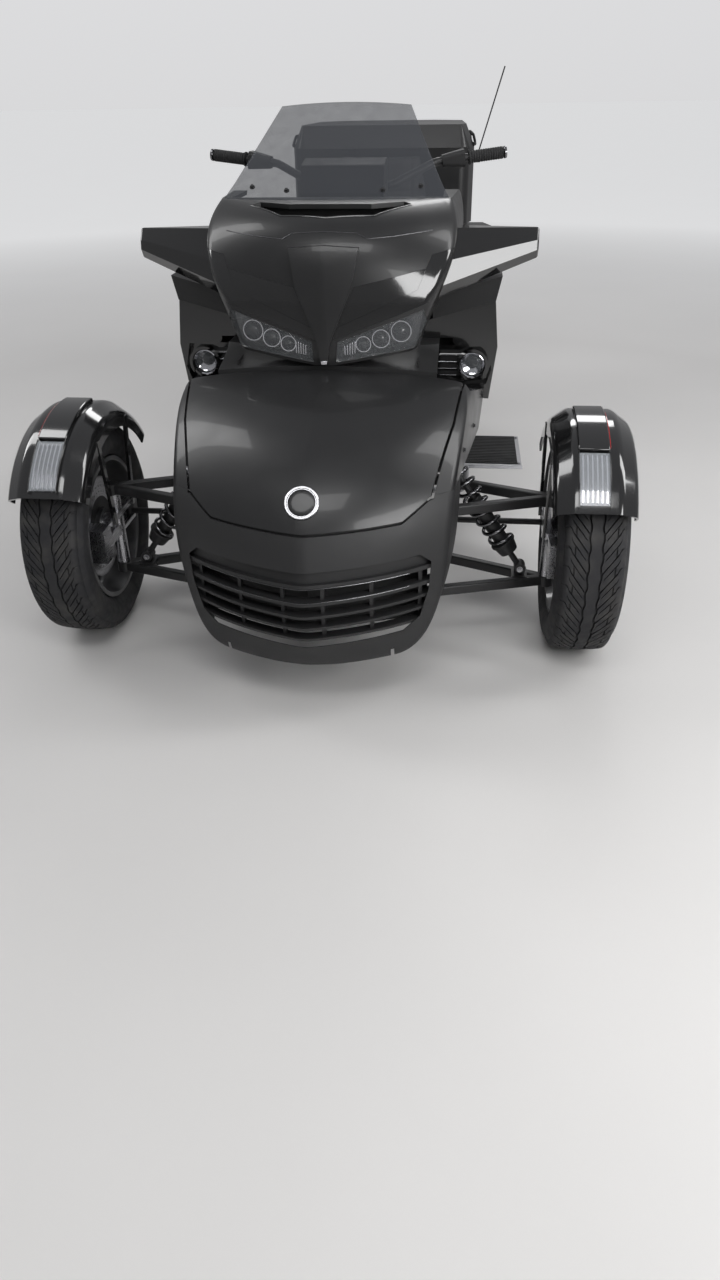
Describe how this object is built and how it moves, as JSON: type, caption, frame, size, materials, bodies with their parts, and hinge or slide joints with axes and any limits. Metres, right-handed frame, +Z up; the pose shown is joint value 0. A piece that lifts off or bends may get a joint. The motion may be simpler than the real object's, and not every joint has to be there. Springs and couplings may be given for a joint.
{
  "type": "three-wheeled touring motorcycle",
  "caption": "Motorized trike with paired steered front wheels, a driven rear wheel, front trunk, fairing, handlebar, stepped seat, side bags and top case",
  "frame": {"origin": "on the ground under the middle of the vehicle's box", "axes": "+X to the rider's left, -Y forward, +Z up"},
  "size_m": [1.484, 2.82, 1.3507],
  "materials": {
    "satin_black": "satin moulded panel",
    "gloss_black": "gloss lacquer",
    "textured_black": "grained moulding",
    "frame_black": "powder coat",
    "engine_metal": "cast and painted",
    "steel": "brushed",
    "rim_paint": "satin lacquer",
    "tyre": "rubber",
    "seat_cover": "grained vinyl",
    "lens": "clear moulded",
    "smoke_screen": "smoke tint",
    "tail_lens": "red lens",
    "mirror": "silvered",
    "rubber": "ribbed",
    "board_grey": "grey coat"
  },
  "bodies": {
    "chassis": {"antenna": "rubber", "backrest": "seat_cover", "cowl": "textured_black", "drive_belt": "rubber", "engine": "engine_metal", "exhaust": "steel", "fairing": "satin_black", "fairing_bands": "gloss_black", "fog_lamps": "lens", "fog_pods": "gloss_black", "footboards": "board_grey", "frame_cross_members": "frame_black", "frame_sides": "frame_black", "front_fascia": "textured_black", "front_shocks": "frame_black", "grille": "textured_black", "headlights": "lens", "instrument_panel": "textured_black", "lower_arms": "frame_black", "mirror_glasses": "mirror", "mirrors": "gloss_black", "nose_side_panels": "satin_black", "pod_shoulders": "satin_black", "rear_fender": "textured_black", "rear_rails": "frame_black", "saddlebags": "satin_black", "seats": "seat_cover", "side_panels": "satin_black", "swingarm": "frame_black", "tail_lamps": "tail_lens", "tank_cover": "satin_black", "top_case": "satin_black", "trunk_tub": "textured_black", "upper_arms": "frame_black", "windscreen": "smoke_screen"},
    "hood": {"hood": "satin_black"},
    "handlebar": {"handlebar": "frame_black", "grips": "rubber", "switch_housings": "textured_black"},
    "rear_wheel": {"rear_tyre": "tyre", "rear_rim": "rim_paint"},
    "saddlebag_lid_left": {"saddlebag_lid_left": "satin_black"},
    "saddlebag_lid_right": {"saddlebag_lid_right": "satin_black"},
    "top_case_lid": {"top_case_lid": "satin_black"},
    "knuckle_left": {"knuckle_left": "steel", "front_fender_left": "gloss_black", "marker_lamp_left": "lens"},
    "front_wheel_left": {"front_tyre_left": "tyre", "front_rim_left": "rim_paint", "front_disc_left": "steel"},
    "tie_rod_left": {"tie_rod_left": "frame_black"},
    "knuckle_right": {"knuckle_right": "steel", "front_fender_right": "gloss_black", "marker_lamp_right": "lens"},
    "front_wheel_right": {"front_tyre_right": "tyre", "front_rim_right": "rim_paint", "front_disc_right": "steel"},
    "tie_rod_right": {"tie_rod_right": "frame_black"}
  },
  "joints": [
    {"name": "handlebar_steer", "type": "hinge", "parent": "chassis", "child": "handlebar", "pos_m": [0, -0.204, 1.046], "axis": [0, 0.5, 0.866], "range_deg": [-30, 30]},
    {"name": "rear_wheel_spin", "type": "hinge", "parent": "chassis", "child": "rear_wheel", "pos_m": [0, 0.763, 0.303], "axis": [1, 0, 0], "continuous": true},
    {"name": "hood_hinge", "type": "hinge", "parent": "chassis", "child": "hood", "pos_m": [0, -0.922, 0.682], "axis": [-1, 0, 0], "range_deg": [0, 50]},
    {"name": "top_case_lid_hinge", "type": "hinge", "parent": "chassis", "child": "top_case_lid", "pos_m": [0, 0.746, 1.092], "axis": [1, 0, 0], "range_deg": [0, 70]},
    {"name": "knuckle_left_steer", "type": "hinge", "parent": "chassis", "child": "knuckle_left", "pos_m": [0.575, -0.946, 0.279], "axis": [0, 0, 1], "range_deg": [-27, 27]},
    {"name": "front_wheel_left_spin", "type": "hinge", "parent": "knuckle_left", "child": "front_wheel_left", "pos_m": [0.654, -0.946, 0.281], "axis": [1, 0, 0], "continuous": true},
    {"name": "tie_rod_left_pivot", "type": "hinge", "parent": "knuckle_left", "child": "tie_rod_left", "pos_m": [0.575, -0.85, 0.288], "axis": [0, 0, 1], "range_deg": [-27, 27]},
    {"name": "saddlebag_lid_left_hinge", "type": "hinge", "parent": "chassis", "child": "saddlebag_lid_left", "pos_m": [0.4004, 0.839, 0.4436], "axis": [0, 1, 0], "range_deg": [0, 75]},
    {"name": "knuckle_right_steer", "type": "hinge", "parent": "chassis", "child": "knuckle_right", "pos_m": [-0.575, -0.946, 0.279], "axis": [0, 0, 1], "range_deg": [-27, 27]},
    {"name": "front_wheel_right_spin", "type": "hinge", "parent": "knuckle_right", "child": "front_wheel_right", "pos_m": [-0.654, -0.946, 0.281], "axis": [1, 0, 0], "continuous": true},
    {"name": "tie_rod_right_pivot", "type": "hinge", "parent": "knuckle_right", "child": "tie_rod_right", "pos_m": [-0.575, -0.85, 0.288], "axis": [0, 0, 1], "range_deg": [-27, 27]},
    {"name": "saddlebag_lid_right_hinge", "type": "hinge", "parent": "chassis", "child": "saddlebag_lid_right", "pos_m": [-0.4004, 0.839, 0.4436], "axis": [0, -1, 0], "range_deg": [0, 75]}
  ],
  "couplings": [
    {"joint": "knuckle_left_steer", "follows": "handlebar_steer", "ratio": 0.9},
    {"joint": "tie_rod_left_pivot", "follows": "handlebar_steer", "ratio": -0.9},
    {"joint": "knuckle_right_steer", "follows": "handlebar_steer", "ratio": 0.9},
    {"joint": "tie_rod_right_pivot", "follows": "handlebar_steer", "ratio": -0.9}
  ]
}
